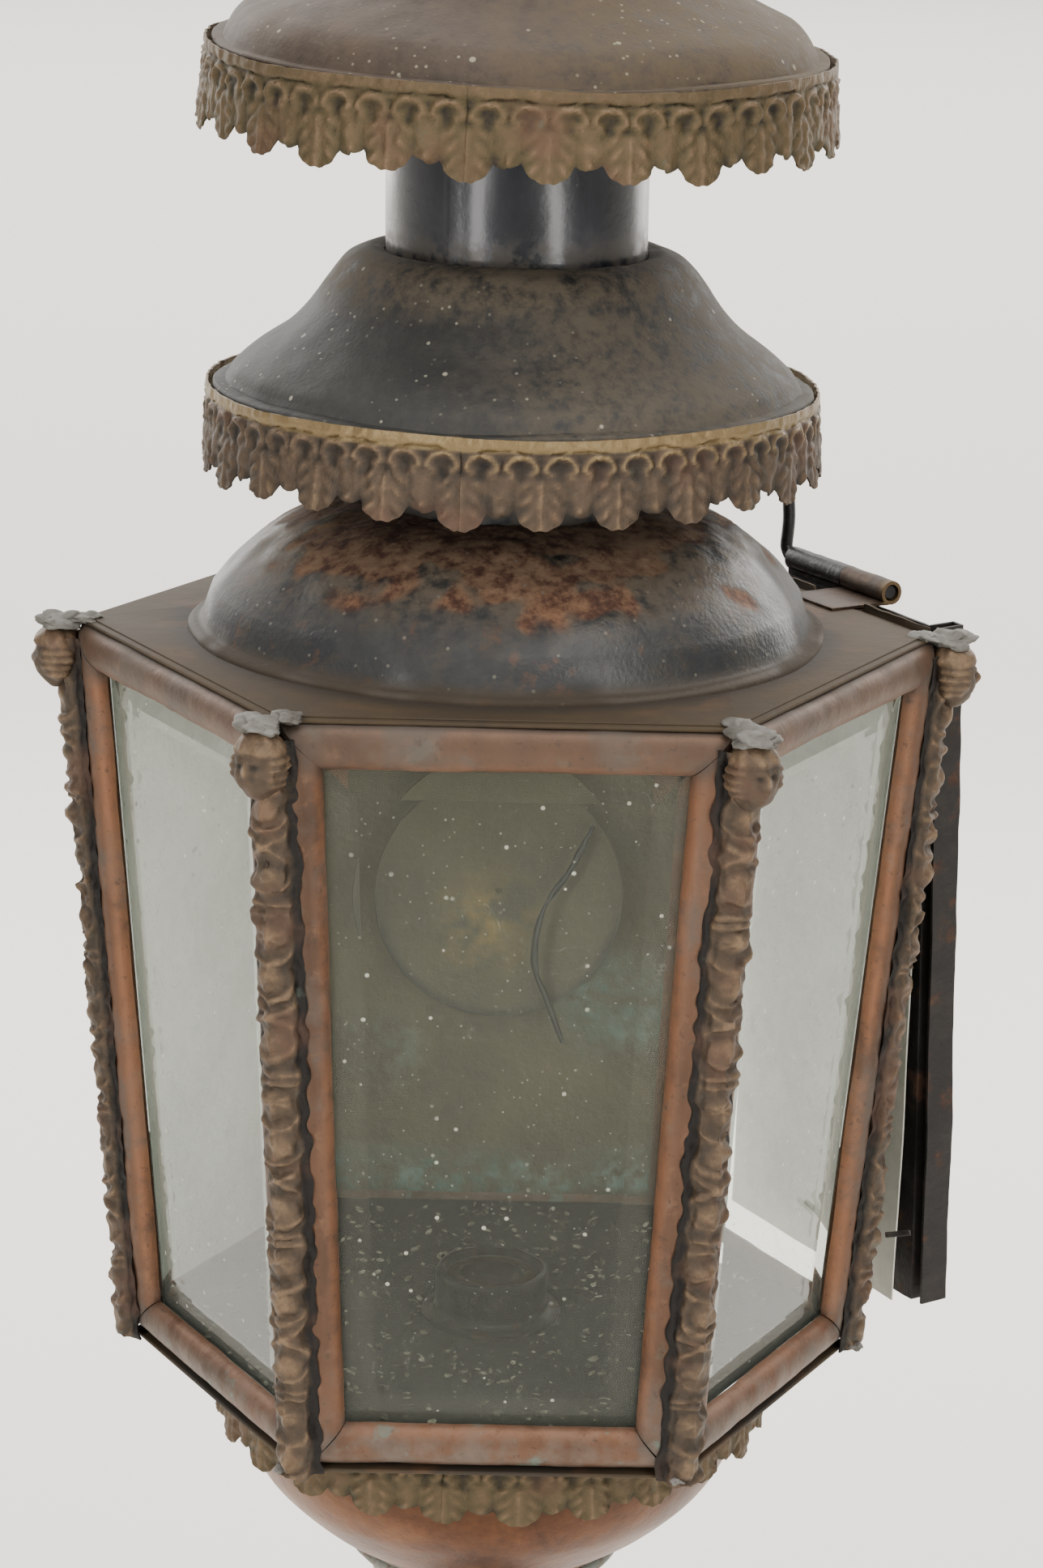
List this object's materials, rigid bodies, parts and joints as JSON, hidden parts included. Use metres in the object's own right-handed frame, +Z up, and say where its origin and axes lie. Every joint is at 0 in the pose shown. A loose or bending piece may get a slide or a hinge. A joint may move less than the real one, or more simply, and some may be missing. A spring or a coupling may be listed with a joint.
{
  "type": "carriage lantern",
  "caption": "Tall hexagonal copper coach lantern with bevelled panes, stamped brass strips and galleries, stacked bell caps on an iron chimney, a hinged rear door and a candle tail.",
  "frame": {"origin": "on the lamp's axis, in the plane of the tail collar's underside, where the lamp sits on the rim of its carriage bracket's socket", "axes": "+Z up along the lamp's axis, front pane facing -Y, hinged door on the rear right (+X, +Y) side"},
  "size_m": [0.2854, 0.2446, 0.7973],
  "materials": {
    "patinated_copper": "dull red-brown copper with a purple-grey patina and rubbed orange edges",
    "bowl_copper": "warmer copper with verdigris and whitish deposits",
    "stamped_brass": "dark bronze-brown stamped brass, golden where it is rubbed",
    "black_iron": "black paint on sheet iron, flaking to rust on the hood and the door",
    "floor_iron": "sooty tinned iron covered with dust and debris",
    "tinned_reflector": "tarnished tin plate, pale grey-green with small dark spots",
    "spring_steel": "oiled spring wire",
    "bevelled_glass": "clear bevelled plate glass with a dusty inner face"
  },
  "bodies": {
    "lamp": {"top_plate": "patinated_copper", "front_frame": "patinated_copper", "front_left_frame": "patinated_copper", "front_right_frame": "patinated_copper", "rear_left_frame": "patinated_copper", "rear_frame": "patinated_copper", "rear_right_frame": "patinated_copper", "front_glass": "bevelled_glass", "front_left_glass": "bevelled_glass", "front_right_glass": "bevelled_glass", "corner_strip_1": "stamped_brass", "corner_strip_2": "stamped_brass", "corner_strip_3": "stamped_brass", "corner_strip_4": "stamped_brass", "corner_strip_5": "stamped_brass", "corner_strip_6": "stamped_brass", "rear_left_wall": "patinated_copper", "rear_left_reflector": "tinned_reflector", "rear_wall": "patinated_copper", "round_reflector": "floor_iron", "reflector_wire": "black_iron", "floor_plate": "floor_iron", "base_ring": "patinated_copper", "lower_dome": "black_iron", "chimney_tube": "black_iron", "middle_cap": "black_iron", "middle_gallery": "stamped_brass", "top_cap": "patinated_copper", "top_gallery": "stamped_brass", "top_finial": "patinated_copper", "cap_strap_1": "black_iron", "cap_strap_2": "black_iron", "cap_strap_3": "black_iron", "bottom_gallery": "stamped_brass", "bowl": "bowl_copper", "bead_ring": "bowl_copper", "stem": "bowl_copper", "tail_collar": "bowl_copper", "tail_tube": "bowl_copper", "candle_nozzle": "black_iron", "frame_knuckle": "patinated_copper", "roof_lip": "patinated_copper", "door_catch": "stamped_brass"},
    "door": {"door_panel": "black_iron", "door_reflector": "tinned_reflector", "door_knuckle": "black_iron"},
    "hinge_pin": {"hinge_pin": "black_iron"},
    "candle_tube": {"candle_tube": "bowl_copper", "tail_cap": "bowl_copper", "candle_spring": "spring_steel"},
    "follower": {"candle_follower": "stamped_brass"}
  },
  "joints": [
    {"name": "door_hinge", "type": "hinge", "parent": "lamp", "child": "door", "pos_m": [0.10479, 0.0605, 0.376], "axis": [0.5, -0.866, 0], "range_deg": [-5, 95]},
    {"name": "hinge_pin_pull", "type": "slide", "parent": "lamp", "child": "hinge_pin", "axis": [-0.5, 0.866, 0], "range_m": [0, 0.06]},
    {"name": "candle_tube_drop", "type": "slide", "parent": "lamp", "child": "candle_tube", "axis": [0, 0, -1], "range_m": [0, 0.33]},
    {"name": "candle_follower_slide", "type": "slide", "parent": "candle_tube", "child": "follower", "axis": [0, 0, 1], "range_m": [-0.22, 0], "stiffness_N_per_m": 25, "springref_m": 0.03, "deforming": ["candle_spring"]}
  ]
}
